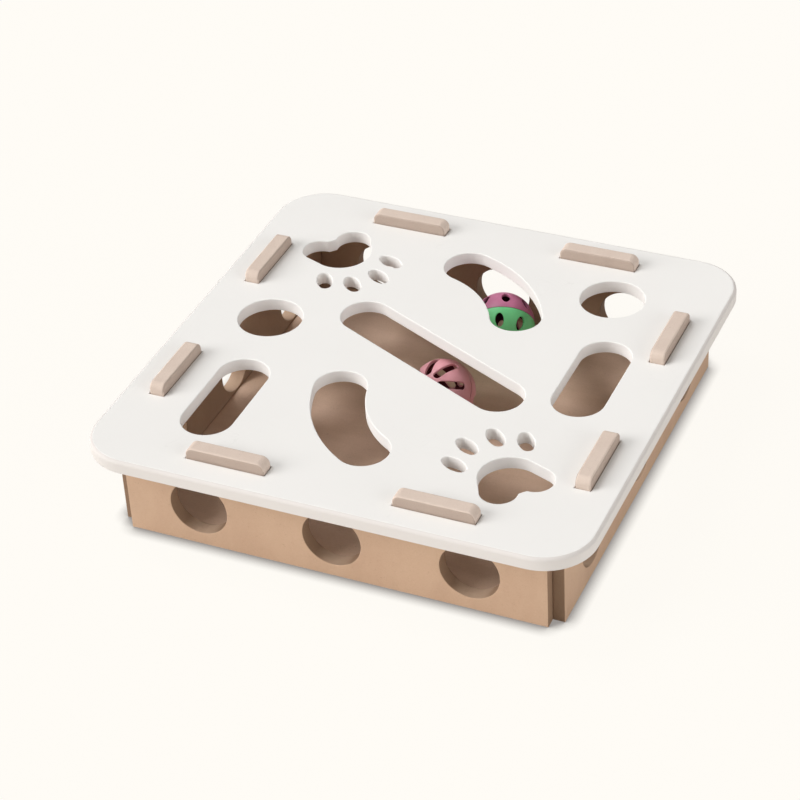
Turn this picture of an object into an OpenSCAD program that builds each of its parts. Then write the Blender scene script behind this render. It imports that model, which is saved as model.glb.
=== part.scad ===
// Cat puzzle feeder: a square lid board with paw-reach cut-outs stands on four tenoned walls
// round a floor board, and two hollow rattle balls roll about inside.
// Millimetres, +Z up, origin on the ground under the middle, front wall towards -Y.

/* [Lid] */
// How far the lid reaches past the outer face of each wall
lid_overhang = 16.5; // [10:0.5:25]
// Thickness of the lid board
lid_t = 8; // [6:0.5:12]
// Radius of the lid's corners
lid_corner_r = 30; // [16:1:40]
// Radius of the softened edge round the lid's rim
lid_edge_r = 1.2; // [0.4:0.1:2]

/* [Walls] */
// Distance between the outer faces of opposite walls
frame_side = 267; // [255:1:285]
// Thickness of each wall board
wall_t = 9; // [7:0.5:11]
// Height of each wall from the ground to the lid's underside
wall_h = 52; // [50:1:70]
// How far the mitred end of a wall reaches past the inner face of its neighbour
corner_lap = 2; // [1:0.5:5]

/* [Tenons] */
// Length of each tenon that passes through the lid
tenon_l = 48; // [30:1:60]
// Distance of each tenon's middle from the middle of its wall
tenon_x = 62; // [50:1:75]
// How far the tenons stand above the lid
tenon_proud = 6.7; // [4:0.1:12]
// Radius of the tenons' top corners
tenon_r = 4.5; // [1:0.5:6]

/* [Wall holes] */
// Diameter of the three round holes in each wall
hole_d = 35; // [24:0.5:38]
// Distance between the middles of neighbouring holes
hole_pitch = 81.5; // [60:0.5:85]
// Height of the lowest point of the holes above the ground
hole_sill = 8; // [7:0.5:12]

/* [Floor] */
// Thickness of the floor board
floor_t = 7; // [5:0.5:9]
// Length of each stub tenon on the floor's edges
stub_l = 44; // [20:1:60]
// Thickness of the stub tenons
stub_t = 3; // [2:0.25:4]
// How far the stub tenons reach into the walls
stub_reach = 4; // [2:0.5:5]

/* [Slots and rounds] */
// Width of all the slots in the lid
slot_w = 31; // [24:0.5:34]
// Length of the two upright slots
upright_l = 76; // [60:1:85]
// Length of the long slanting slot
slant_l = 144.5; // [110:0.5:150]
// Fall of the slanting slot towards the right
slant_angle = 25.3; // [15:0.1:35]
// Distance between the end centres of the two curved slots
bend_chord = 61; // [45:0.5:65]
// How far the middle line of the curved slots bows out of straight
bend_bow = 6.4; // [3:0.1:10]
// Diameter of the two round cut-outs
round_d = 39; // [28:0.5:42]

/* [Cut-out places] */
// Left round cut-out: its centre from the left wall's inner face
left_round_in = 23; // [21:0.5:28]
// Left round cut-out: its centre behind the middle of the lid
left_round_y = 7; // [0:0.5:10]
// Left upright slot: its middle from the left wall's inner face
left_upright_in = 33.5; // [28:0.5:38]
// Left upright slot: its middle behind the middle of the lid
left_upright_y = -74; // [-76:0.5:-70]
// Right round cut-out: its centre from the right wall's inner face
right_round_in = 41; // [38:0.5:44]
// Right round cut-out: its centre behind the middle of the lid
right_round_y = 92; // [88:0.5:94]
// Right upright slot: its middle from the right wall's inner face
right_upright_in = 25.2; // [22:0.1:30]
// Right upright slot: its middle behind the middle of the lid
right_upright_y = 11.9; // [8:0.1:16]
// Slanting slot: its middle to the right of the middle of the lid
slant_x = 3.4; // [0:0.1:6]
// Slanting slot: its middle behind the middle of the lid
slant_y = 3; // [0:0.1:6]
// Front curved slot: its middle to the right of the middle of the lid
front_bend_x = -14.9; // [-20:0.1:-10]
// Front curved slot: its middle from the front wall's inner face
front_bend_in = 56.3; // [52:0.1:60]
// Turn of the front curved slot
front_bend_angle = 126; // [110:1:140]
// Back curved slot: its middle to the right of the middle of the lid
back_bend_x = 12.8; // [8:0.1:18]
// Back curved slot: its middle from the back wall's inner face
back_bend_in = 47.7; // [46:0.1:52]
// Turn of the back curved slot
back_bend_angle = -41.5; // [-50:0.5:-30]

/* [Paw prints] */
// Radius of the rounded front of each paw's pad
pad_r = 18; // [14:0.5:20]
// Radius of the two lobes at the back of the pad
lobe_r = 10.7; // [8:0.1:12]
// How far the lobes' centres lie behind the pad's centre
lobe_back = 8; // [6:0.5:10]
// How far the lobes' centres lie to each side of the paw's axis
lobe_side = 11.1; // [9:0.1:13]
// How far the dip between the lobes lies behind the pad's centre
pad_dip = 14.5; // [12:0.5:17]
// Length of each toe
toe_l = 17.2; // [12:0.2:19]
// Width of each toe
toe_w = 9.4; // [8:0.2:11]
// Radius of the ends of each toe
toe_end_r = 3.4; // [2.5:0.1:3.9]
// Inner toes: their middles ahead of the pad's centre
inner_toe_ahead = 36.3; // [35:0.1:39]
// Inner toes: their middles to each side of the paw's axis
inner_toe_side = 8.7; // [8:0.1:10]
// Inner toes: how far they splay from the paw's axis
inner_toe_splay = 7; // [0:1:12]
// Outer toes: their middles ahead of the pad's centre
outer_toe_ahead = 24.8; // [22:0.1:27]
// Outer toes: their middles to each side of the paw's axis
outer_toe_side = 22; // [21:0.1:25]
// Outer toes: how far they splay from the paw's axis
outer_toe_splay = 18; // [10:1:26]
// Direction in which the back left paw points; the front right one points the other way
paw_angle = -42.5; // [-50:0.5:-30]
// Back left paw: its pad's centre from the left wall's inner face
back_paw_left = 33.4; // [30:0.1:38]
// Back left paw: its pad's centre from the back wall's inner face
back_paw_in = 37.4; // [34:0.1:40]
// Front right paw: its pad's centre from the right wall's inner face
front_paw_right = 35.6; // [32:0.1:40]
// Front right paw: its pad's centre from the front wall's inner face
front_paw_in = 35.1; // [34:0.1:40]

/* [Balls] */
// Outer diameter of each ball
ball_d = 38.5; // [34:0.5:42]
// Wall thickness of the ball shells
shell_t = 1.8; // [1.4:0.1:2.4]
// Depth of the lap where two half shells snap together
seam_lap = 1.6; // [1:0.1:2]
// Openings round each half shell
shell_openings = 8; // [6:1:9]
// Width of the oval windows of the first ball
window_w = 5.2; // [3:0.1:6]
// Length of the oval windows
window_l = 8.6; // [7:0.1:10]
// Radius of the ends of the oval windows
window_end_r = 2; // [1:0.1:2.5]
// Angle of the windows above and below the seam
window_angle = 25; // [20:1:32]
// Width of the slits of the second ball
slit_w = 4.5; // [2:0.1:5]
// Angle from the pole at which the slits start
slit_from = 21; // [18:1:30]
// Angle from the pole at which the slits end
slit_to = 73; // [60:1:76]

/* [Balls as they lie] */
// Windowed ball: its centre to the right of the middle of the box
window_ball_x = 13; // [0:0.5:20]
// Windowed ball: its centre from the back wall's inner face
window_ball_in = 32.5; // [24:0.5:36]
// Windowed ball: lean of its upper half's pole from upright
window_ball_lean = 66.6; // [0:0.1:90]
// Windowed ball: heading towards which that pole leans
window_ball_heading = 108.6; // [-180:0.1:180]
// Windowed ball: turn of the upper half about its pole
window_upper_turn = 6.7; // [0:0.1:60]
// Windowed ball: turn of the lower half about its pole
window_lower_turn = 40.3; // [0:0.1:60]
// Slitted ball: its centre to the right of the middle of the box
slit_ball_x = 5.4; // [0:0.2:10]
// Slitted ball: its centre behind the middle of the box
slit_ball_y = 14.4; // [8:0.2:20]
// Slitted ball: lean of its upper half's pole from upright
slit_ball_lean = 50.1; // [0:0.1:90]
// Slitted ball: heading towards which that pole leans
slit_ball_heading = -108.1; // [-180:0.1:180]
// Slitted ball: turn of the upper half about its pole
slit_upper_turn = 27.3; // [0:0.1:60]
// Slitted ball: turn of the lower half about its pole
slit_lower_turn = 10; // [0:0.1:60]

/* [Bells] */
// Outer diameter of the bell in each ball
bell_d = 13; // [10:0.5:15]
// Sheet thickness of the bells
bell_t = 0.6; // [0.4:0.1:1]
// Width of the crimped rim that joins the two bell cups
bell_rim = 0.8; // [0.5:0.1:1.2]
// Width of the sound slots in the lower cup
bell_slot_w = 1.2; // [0.8:0.1:1.8]
// Diameter of the drilled ends of the sound slots
bell_slot_end_d = 2.2; // [2:0.1:3]
// Angle from the bell's lowest point up to the drilled ends of the sound slots
bell_slot_angle = 60; // [45:1:66]
// Inner diameter of the eye on top of the bell
bell_eye_d = 2; // [1.6:0.1:3]
// Wire diameter of the eye
bell_eye_wire = 0.7; // [0.5:0.1:0.9]
// Diameter of the pellet that rattles in each bell
pellet_d = 4; // [2.8:0.1:5]

/* [Fits] */
// Gap all round each tenon in its mortise in the lid
tenon_gap = 0.3; // [0.2:0.05:0.6]
// Gap between the floor, its stub tenons and the walls
floor_gap = 0.15; // [0.1:0.05:0.4]
// Gap between the mitred ends of neighbouring walls
mitre_gap = 0.1; // [0.05:0.05:0.3]
// Gap in the snap lap of the ball shells
seam_gap = 0.1; // [0.05:0.05:0.2]
// Gap under each ball, bell and pellet as it lies at rest
rest_gap = 0.3; // [0.2:0.05:0.5]

/* [Hidden] */
$fn = 96;
// Cuts run this far past the faces that they open
past = 1;
// The ends of a curved slot are this much wider than the slot, so that they cross its sides cleanly
end_ease = 0.1;
WHITE = [0.94, 0.93, 0.92];
FIBREBOARD = [0.78, 0.64, 0.53];
DARK_BOARD = [0.62, 0.49, 0.40];
MAUVE = [0.70, 0.42, 0.56];
GREEN = [0.30, 0.66, 0.42];
PINK = [0.85, 0.56, 0.61];
NICKEL = [0.80, 0.80, 0.78];

frame_half = frame_side / 2;
inner_half = frame_half - wall_t;
wall_half = inner_half + corner_lap;
lid_half = frame_half + lid_overhang;
tenon_h = lid_t + tenon_proud;
stub_z = (floor_t - stub_t) / 2;
ball_r = ball_d / 2;
shell_r = ball_r - shell_t;
seam_r = ball_r - shell_t / 2;
ball_z = floor_t + rest_gap + ball_r;
bell_r = bell_d / 2;
bell_inner_r = bell_r - bell_t;
bell_drop = shell_r - rest_gap - bell_r;
pellet_drop = bell_inner_r - rest_gap - pellet_d / 2;
window_ball = [window_ball_x, inner_half - window_ball_in, ball_z];
slit_ball = [slit_ball_x, slit_ball_y, ball_z];

// Slot with round ends along X
module straight_slot(length, width) {
    reach = (length - width) / 2;
    square([2 * reach, width], center = true);
    for (side = [-1, 1]) translate([side * reach, 0]) circle(d = width);
}

// Slot with round ends along an arc that bows towards +Y, placed by the middle of its chord
module curved_slot(chord, bow, width) {
    arc_r = (pow(chord / 2, 2) + pow(bow, 2)) / (2 * bow);
    half_turn = asin(chord / 2 / arc_r);
    wedge = 2 * arc_r * [sin(half_turn), cos(half_turn)];
    translate([0, bow - arc_r]) {
        intersection() {
            difference() {
                circle(r = arc_r + width / 2);
                circle(r = arc_r - width / 2);
            }
            polygon([[0, 0], [-wedge[0], wedge[1]], wedge]);
        }
        for (side = [-1, 1]) rotate(side * half_turn) translate([0, arc_r]) circle(d = width + end_ease);
    }
}

// Oval along X made of two flat side arcs and two tangent end arcs
module oval(length, width, end_r) {
    end_x = length / 2 - end_r;
    half_w = width / 2;
    side_r = (pow(end_x, 2) + pow(half_w, 2) - pow(end_r, 2)) / (2 * (half_w - end_r));
    tangent_x = end_x * side_r / (side_r - end_r);
    intersection() {
        translate([0, half_w - side_r]) circle(r = side_r);
        translate([0, side_r - half_w]) circle(r = side_r);
        square([2 * tangent_x, width], center = true);
    }
    for (side = [-1, 1]) translate([side * end_x, 0]) circle(r = end_r);
}

// Straight flank that joins the front of the pad to its lobe on the +Y side
module pad_flank() {
    lobe = [-lobe_back, lobe_side];
    facing = atan2(lobe_side, -lobe_back) - acos((pad_r - lobe_r) / norm(lobe));
    outward = [cos(facing), sin(facing)];
    polygon([[0, 0], (pad_r - end_ease / 2) * outward, lobe + (lobe_r - end_ease / 2) * outward, lobe]);
}

// Paw print that points along +X, with the centre of its pad at the origin
module paw_print() {
    intersection() {
        circle(r = pad_r);
        translate([-pad_dip, -pad_r]) square([pad_dip + pad_r, 2 * pad_r]);
    }
    pad_flank();
    mirror([0, 1]) pad_flank();
    for (side = [-1, 1]) {
        translate([-lobe_back, side * lobe_side]) circle(r = lobe_r);
        translate([inner_toe_ahead, side * inner_toe_side])
            rotate(side * inner_toe_splay) oval(toe_l, toe_w, toe_end_r);
        translate([outer_toe_ahead, side * outer_toe_side])
            rotate(side * outer_toe_splay) oval(toe_l, toe_w, toe_end_r);
    }
}

// All the openings that a paw reaches through, as they lie on the lid
module lid_cutouts() {
    translate([left_round_in - inner_half, left_round_y]) circle(d = round_d);
    translate([inner_half - right_round_in, right_round_y]) circle(d = round_d);
    translate([left_upright_in - inner_half, left_upright_y])
        rotate(90) straight_slot(upright_l, slot_w);
    translate([inner_half - right_upright_in, right_upright_y])
        rotate(90) straight_slot(upright_l, slot_w);
    translate([slant_x, slant_y]) rotate(-slant_angle) straight_slot(slant_l, slot_w);
    translate([front_bend_x, front_bend_in - inner_half])
        rotate(front_bend_angle) curved_slot(bend_chord, bend_bow, slot_w);
    translate([back_bend_x, inner_half - back_bend_in])
        rotate(back_bend_angle) curved_slot(bend_chord, bend_bow, slot_w);
    translate([back_paw_left - inner_half, inner_half - back_paw_in])
        rotate(paw_angle) paw_print();
    translate([inner_half - front_paw_right, front_paw_in - inner_half])
        rotate(paw_angle + 180) paw_print();
}

// Mortises for the two tenons of each wall
module mortises() {
    for (turn = [0:3], side = [-1, 1])
        rotate(90 * turn) translate([side * tenon_x, wall_t / 2 - frame_half])
            square([tenon_l + 2 * tenon_gap, wall_t + 2 * tenon_gap], center = true);
}

// Half section of a board with softened rims, from its middle to its edge
module soft_edge(reach) {
    rim_x = reach - lid_edge_r;
    square([rim_x, lid_t]);
    translate([0, lid_edge_r]) square([reach, lid_t - 2 * lid_edge_r]);
    for (z = [lid_edge_r, lid_t - lid_edge_r]) translate([rim_x, z]) circle(r = lid_edge_r);
}

// Board with round corners and softened rims, standing on z = 0
module soft_board(half) {
    straight = half - lid_corner_r;
    for (turn = [0:3]) rotate(90 * turn) {
        translate([straight, straight, 0]) rotate_extrude(angle = 90) soft_edge(lid_corner_r);
        translate([0, straight, 0]) rotate([90, 0, 0]) linear_extrude(2 * straight) soft_edge(half);
    }
}

module lid_panel() color(WHITE) translate([0, 0, wall_h]) difference() {
    soft_board(lid_half);
    translate([0, 0, -past]) linear_extrude(lid_t + 2 * past) {
        lid_cutouts();
        mortises();
    }
}

// Tenon with round top corners, standing on y = 0
module tenon_face() {
    corner_x = tenon_l / 2 - tenon_r;
    translate([-tenon_l / 2, 0]) square([tenon_l, tenon_h - tenon_r]);
    translate([-corner_x, 0]) square([2 * corner_x, tenon_h]);
    for (side = [-1, 1]) translate([side * corner_x, tenon_h - tenon_r]) circle(r = tenon_r);
}

// Outline of a wall as it is seen from outside
module wall_face() {
    difference() {
        translate([-wall_half, 0]) square([2 * wall_half, wall_h]);
        for (step = [-1:1]) translate([step * hole_pitch, hole_sill + hole_d / 2]) circle(d = hole_d);
    }
    for (side = [-1, 1]) translate([side * tenon_x, wall_h]) tenon_face();
}

// Wall in its place at the front, with mitred ends and blind mortises for the floor
module wall_board() {
    difference() {
        translate([0, -inner_half, 0]) rotate([90, 0, 0]) linear_extrude(wall_t) wall_face();
        for (flip = [0, 1]) mirror([flip, 0, 0]) {
            translate([inner_half, -inner_half, -past]) rotate(-45)
                translate([-wall_t, -mitre_gap / 2, 0]) cube([2 * wall_t, wall_t, wall_h + 2 * past]);
            translate([tenon_x - stub_l / 2, -inner_half - stub_reach, stub_z] - floor_gap * [1, 1, 1])
                cube([stub_l + 2 * floor_gap, stub_reach + floor_gap + past, stub_t + 2 * floor_gap]);
        }
    }
}

module front_wall() color(FIBREBOARD) wall_board();
module right_wall() color(FIBREBOARD) rotate(90) wall_board();
module back_wall() color(FIBREBOARD) rotate(180) wall_board();
module left_wall() color(FIBREBOARD) rotate(270) wall_board();

module floor_panel() color(DARK_BOARD) {
    half = inner_half - floor_gap;
    translate([-half, -half, 0]) cube([2 * half, 2 * half, floor_t]);
    for (turn = [0:3], side = [-1, 1])
        rotate(90 * turn) translate([side * tenon_x - stub_l / 2, -inner_half - stub_reach, stub_z])
            cube([stub_l, stub_reach + wall_t, stub_t]);
}

// Section of a sphere's wall on the right of the axis
module ring_section(outer, inner) {
    difference() {
        circle(r = outer);
        circle(r = inner);
        translate([-2 * outer, -outer]) square([2 * outer, 2 * outer]);
    }
}

// Upper half of a ball: its inner lip reaches down past the seam
module upper_half() rotate_extrude() {
    intersection() {
        ring_section(ball_r, shell_r);
        square([ball_r, ball_r]);
    }
    intersection() {
        ring_section(seam_r - seam_gap / 2, shell_r);
        translate([0, -seam_lap]) square([ball_r, 2 * seam_lap]);
    }
}

// Lower half of a ball: its rim takes the lip of the upper half
module lower_half() rotate_extrude() intersection() {
    difference() {
        ring_section(ball_r, shell_r);
        intersection() {
            circle(r = seam_r + seam_gap / 2);
            translate([0, -seam_lap - seam_gap]) square([ball_r, 2 * seam_lap]);
        }
    }
    translate([0, -ball_r]) square([ball_r, ball_r]);
}

// Oval windows in a ring above or below the seam
module window_ring(turn, angle) {
    for (k = [0:shell_openings - 1])
        rotate(turn + k * 360 / shell_openings) rotate([0, 90 - angle, 0])
            translate([0, 0, shell_r / 2]) linear_extrude(ball_r) oval(window_l, window_w, window_end_r);
}

// Slits that run from near the pole to near the seam
module slit_ring(turn, flip) {
    middle = (slit_from + slit_to) / 2;
    slit_l = 2 * ball_r * sin((slit_to - slit_from) / 2);
    for (k = [0:shell_openings - 1])
        rotate(turn + k * 360 / shell_openings) rotate([0, flip ? 180 - middle : middle, 0])
            translate([0, 0, shell_r / 2]) linear_extrude(ball_r) straight_slot(slit_l, slit_w);
}

// Puts a ball's half where the ball lies and leans it as it lies
module lay(place, lean, heading) translate(place) rotate([0, lean, heading]) children();
module lay_window_ball() lay(window_ball, window_ball_lean, window_ball_heading) children();
module lay_slit_ball() lay(slit_ball, slit_ball_lean, slit_ball_heading) children();

module window_ball_upper_shell() color(MAUVE) lay_window_ball() difference() {
    upper_half();
    window_ring(window_upper_turn, window_angle);
}
module window_ball_lower_shell() color(GREEN) lay_window_ball() difference() {
    lower_half();
    window_ring(window_lower_turn, -window_angle);
}
module slit_ball_upper_shell() color(PINK) lay_slit_ball() difference() {
    upper_half();
    slit_ring(slit_upper_turn, false);
}
module slit_ball_lower_shell() color(PINK) lay_slit_ball() difference() {
    lower_half();
    slit_ring(slit_lower_turn, true);
}

// Places a bell at the bottom of a ball
module in_ball(place) translate(place - [0, 0, bell_drop]) children();

// Rim of one bell cup, on z = 0
module bell_rim_ring() {
    difference() {
        cylinder(r = bell_r + bell_rim, h = bell_t);
        translate([0, 0, -past]) cylinder(r = bell_r - bell_t / 2, h = bell_t + 2 * past);
    }
}

// Upper cup of a bell with its eye and its half of the crimped rim
module bell_crown() {
    rotate_extrude() intersection() {
        ring_section(bell_r, bell_inner_r);
        square([bell_r, bell_r]);
    }
    bell_rim_ring();
    difference() {
        translate([0, 0, bell_r]) rotate([90, 0, 0]) rotate_extrude()
            translate([(bell_eye_d + bell_eye_wire) / 2, 0]) circle(d = bell_eye_wire);
        sphere(r = bell_r - bell_t / 2);
    }
}

// Lower cup of a bell with crossed sound slots
module bell_cup() {
    slot_reach = bell_r * sin(bell_slot_angle);
    slot_top = -bell_r * cos(bell_slot_angle);
    difference() {
        union() {
            rotate_extrude() intersection() {
                ring_section(bell_r, bell_inner_r);
                translate([0, -bell_r]) square([bell_r, bell_r]);
            }
            translate([0, 0, -bell_t]) bell_rim_ring();
        }
        for (turn = [0, 90]) rotate(turn) {
            translate([-slot_reach, -bell_slot_w / 2, -bell_d])
                cube([2 * slot_reach, bell_slot_w, bell_d + slot_top]);
            for (side = [-1, 1])
                rotate([0, side * (180 - bell_slot_angle), 0]) cylinder(d = bell_slot_end_d, h = bell_d);
        }
    }
}

module bell_pellet() translate([0, 0, -pellet_drop]) sphere(d = pellet_d);

module window_ball_bell_crown() color(NICKEL) in_ball(window_ball) bell_crown();
module window_ball_bell_cup() color(NICKEL) in_ball(window_ball) bell_cup();
module window_ball_bell_pellet() color(NICKEL) in_ball(window_ball) bell_pellet();
module slit_ball_bell_crown() color(NICKEL) in_ball(slit_ball) bell_crown();
module slit_ball_bell_cup() color(NICKEL) in_ball(slit_ball) bell_cup();
module slit_ball_bell_pellet() color(NICKEL) in_ball(slit_ball) bell_pellet();

lid_panel();
front_wall();
right_wall();
back_wall();
left_wall();
floor_panel();
window_ball_upper_shell();
window_ball_lower_shell();
window_ball_bell_crown();
window_ball_bell_cup();
window_ball_bell_pellet();
slit_ball_upper_shell();
slit_ball_lower_shell();
slit_ball_bell_crown();
slit_ball_bell_cup();
slit_ball_bell_pellet();
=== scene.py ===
"""Cat puzzle feeder: softened boards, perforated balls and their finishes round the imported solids."""

import logging
import math
from dataclasses import dataclass
from enum import Enum
from functools import cache
from typing import Any, ClassVar

import bmesh
import bpy
from mathutils import Euler, Matrix, Vector


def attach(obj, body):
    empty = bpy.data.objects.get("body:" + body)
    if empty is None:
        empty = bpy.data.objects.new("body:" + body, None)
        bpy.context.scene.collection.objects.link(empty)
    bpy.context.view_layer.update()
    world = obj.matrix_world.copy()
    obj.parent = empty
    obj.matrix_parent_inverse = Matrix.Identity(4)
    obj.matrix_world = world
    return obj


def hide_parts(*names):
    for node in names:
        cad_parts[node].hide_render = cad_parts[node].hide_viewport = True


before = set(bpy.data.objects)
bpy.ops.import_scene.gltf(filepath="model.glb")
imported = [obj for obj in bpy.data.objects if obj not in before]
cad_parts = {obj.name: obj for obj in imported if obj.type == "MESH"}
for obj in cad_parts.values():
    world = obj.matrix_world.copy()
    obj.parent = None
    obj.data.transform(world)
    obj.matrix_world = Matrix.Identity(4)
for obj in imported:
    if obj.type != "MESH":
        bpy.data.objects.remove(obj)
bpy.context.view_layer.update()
LOG = logging.getLogger("cat_puzzle_feeder")
MM = 0.001
QUARTER_TURN = math.pi / 2
NUMBER, COUNT, MATERIAL = "NodeSocketFloat", "NodeSocketInt", "NodeSocketMaterial"
Pair = tuple[float, float]
Triple = tuple[float, float, float]
Socket = bpy.types.NodeSocket
Surface = tuple[Socket, Socket, Socket]


class Side(Enum):
    """The wall's side of the box, as quarter turns from the front."""

    FRONT = 0
    RIGHT = 1
    BACK = 2
    LEFT = 3


class Half(Enum):
    """Which half of a ball a shell is."""

    UPPER = "upper"
    LOWER = "lower"


class Perforation(Enum):
    """The form of the openings in a ball's shell, which also names the ball."""

    WINDOW = "window"
    SLIT = "slit"


class NodeSheet:
    """Adds nodes to one node tree and wires their sockets."""

    def __init__(self, tree: bpy.types.NodeTree) -> None:
        """Keeps the tree that the nodes go into."""
        self.tree = tree

    def add(self, kind: str, feeds: dict[Any, Any] | None = None, **settings: Any) -> bpy.types.Node:
        """Adds one node.

        Args:
            kind: the node's type name.
            feeds: sockets to link from, or plain values, by input name or index.
            settings: properties to set on the node.

        Returns:
            The new node.
        """
        node = self.tree.nodes.new(kind)
        for name, value in settings.items():
            setattr(node, name, value)
        for key, value in (feeds or {}).items():
            if isinstance(value, Socket):
                self.tree.links.new(value, node.inputs[key])
            else:
                node.inputs[key].default_value = value
        return node

    def effect(self, tree: bpy.types.NodeTree, **feeds: Any) -> bpy.types.NodeOutputs:
        """Places a shared effect, with its inputs' spaces written as underscores, and gives its outputs."""
        by_title = {name.replace("_", " "): value for name, value in feeds.items()}
        return self.add("ShaderNodeGroup", by_title, node_tree=tree).outputs

    def math(self, operation: str, *values: Any) -> Socket:
        """Joins numbers or sockets by a Math node."""
        return self.add("ShaderNodeMath", dict(enumerate(values)), operation=operation).outputs[0]

    def times(self, value: Any, factor: Any) -> Socket:
        """Multiplies two numbers."""
        return self.math("MULTIPLY", value, factor)

    def scaled(self, value: Any, factor: Any, base: Any) -> Socket:
        """Multiplies two numbers and adds a base to the result."""
        return self.math("MULTIPLY_ADD", value, factor, base)

    def vector(self, x: Any = 0.0, y: Any = 0.0, z: Any = 0.0) -> Socket:
        """Builds a vector from three numbers or sockets."""
        return self.add("ShaderNodeCombineXYZ", {0: x, 1: y, 2: z}).outputs[0]

    def parts(self, vector: Socket) -> bpy.types.NodeOutputs:
        """Takes a vector apart into its three numbers."""
        return self.add("ShaderNodeSeparateXYZ", {0: vector}).outputs

    def mix(self, share: Any, first: Any, second: Any) -> Socket:
        """Blends two colours.

        Args:
            share: how much of the second colour shows.
            first: the colour at 0.
            second: the colour at 1.

        Returns:
            The blended colour's socket.
        """
        first, second = ((*tone, 1.0) if isinstance(tone, tuple) else tone for tone in (first, second))
        share_input, first_input, second_input, colour_output = 0, 6, 7, 2
        feeds = {share_input: share, first_input: first, second_input: second}
        return self.add("ShaderNodeMix", feeds, data_type="RGBA").outputs[colour_output]

    def noise(self, vector: Any, scale: Any, detail: float, rough: float = 0.5, warp: float = 0.0) -> Socket:
        """Adds a noise pattern with so many features in a metre, whose values lie about 0.5."""
        feeds = {"Vector": vector, "Scale": scale, "Detail": detail, "Roughness": rough, "Distortion": warp}
        return self.add("ShaderNodeTexNoise", feeds).outputs[0]

    def spread(self, value: Any, low: float, high: float, to_low: float = 0.0, to_high: float = 1.0) -> Socket:
        """Maps a range of values to another one, clamped at both ends."""
        feeds = dict(enumerate((value, low, high, to_low, to_high)))
        return self.add("ShaderNodeMapRange", feeds).outputs[0]


class ShaderGroups:
    """The surface effects that several finishes share, each built once."""

    @staticmethod
    def start(name: str, numbers: list[str], outputs: list[str]) -> tuple[NodeSheet, dict[str, Socket]]:
        """Opens a new group that reads coordinates.

        Args:
            name: the group's name.
            numbers: its inputs beside the coordinates.
            outputs: its outputs, all of them numbers.

        Returns:
            The group's sheet and its input sockets by name.
        """
        tree = bpy.data.node_groups.new(name, "ShaderNodeTree")
        tree.interface.new_socket("Vector", in_out="INPUT", socket_type="NodeSocketVector")
        for titles, way in ((numbers, "INPUT"), (outputs, "OUTPUT")):
            for title in titles:
                tree.interface.new_socket(title, in_out=way, socket_type=NUMBER)
        sheet = NodeSheet(tree)
        entry = sheet.add("NodeGroupInput")
        return sheet, {title: entry.outputs[title] for title in ("Vector", *numbers)}

    @staticmethod
    @cache
    def board_fibre() -> bpy.types.NodeTree:
        """Pressed wood fibre: broad clouds, fine fibres and scattered darker flecks.

        Returns:
            The group's tree.
        """
        fleck_coarseness, fleck_sink = 0.55, 0.35
        sheet, given = ShaderGroups.start("board_fibre", ["Cloud Scale", "Fibre Scale"],
                                          ["Cloud", "Fibre", "Fleck", "Height"])
        spot, fibre_scale = given["Vector"], given["Fibre Scale"]
        cloud = sheet.noise(spot, given["Cloud Scale"], detail=4.0, rough=0.6)
        fibre = sheet.noise(spot, fibre_scale, detail=5.0, rough=0.65, warp=1.2)
        coarse = sheet.noise(spot, sheet.times(fibre_scale, fleck_coarseness), detail=3.0, rough=0.6, warp=2.0)
        fleck = sheet.spread(coarse, low=0.62, high=0.74)
        height = sheet.math("SUBTRACT", fibre, sheet.times(fleck, fleck_sink))
        sheet.add("NodeGroupOutput", {"Cloud": sheet.spread(cloud, low=0.3, high=0.7),
                                      "Fibre": sheet.spread(fibre, low=0.32, high=0.68),
                                      "Fleck": fleck, "Height": height})
        return sheet.tree

    @staticmethod
    @cache
    def scuff_marks() -> bpy.types.NodeTree:
        """Fine scuffs in loose patches, as handling and claws leave them.

        Returns:
            The group's tree.
        """
        bend_scale, patch_scale, line_width = 9.0, 16.0, 0.014
        slant, stretch = (0.0, 0.0, 0.6), (1.0, 0.16, 1.0)
        sheet, given = ShaderGroups.start("scuff_marks", ["Scale"], ["Mask", "Height"])
        spot = given["Vector"]
        bend = sheet.add("ShaderNodeTexNoise", {"Vector": spot, "Scale": bend_scale}).outputs["Color"]
        moved = sheet.add("ShaderNodeVectorMath", {0: spot, 1: bend}, operation="ADD").outputs[0]
        slim = sheet.add("ShaderNodeMapping", {"Vector": moved, "Rotation": slant, "Scale": stretch}).outputs[0]
        cells = sheet.add("ShaderNodeTexVoronoi", {"Vector": slim, "Scale": given["Scale"]},
                          feature="DISTANCE_TO_EDGE").outputs[0]
        line = sheet.spread(cells, low=0.0, high=line_width, to_low=1.0, to_high=0.0)
        patch = sheet.spread(sheet.noise(spot, patch_scale, detail=3.0), low=0.54, high=0.68)
        mask = sheet.times(line, patch)
        sheet.add("NodeGroupOutput", {"Mask": mask, "Height": sheet.times(mask, -1.0)})
        return sheet.tree

    @staticmethod
    @cache
    def moulded_skin() -> bpy.types.NodeTree:
        """The faint orange-peel and flow shades of a moulded or sprayed surface.

        Returns:
            The group's tree.
        """
        flow_coarseness = 0.06
        sheet, given = ShaderGroups.start("moulded_skin", ["Scale"], ["Flow", "Height"])
        spot, scale = given["Vector"], given["Scale"]
        height = sheet.noise(spot, scale, detail=2.0, rough=0.45)
        broad = sheet.noise(spot, sheet.times(scale, flow_coarseness), detail=3.0, rough=0.55, warp=0.6)
        sheet.add("NodeGroupOutput", {"Flow": sheet.spread(broad, low=0.3, high=0.7), "Height": height})
        return sheet.tree


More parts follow.
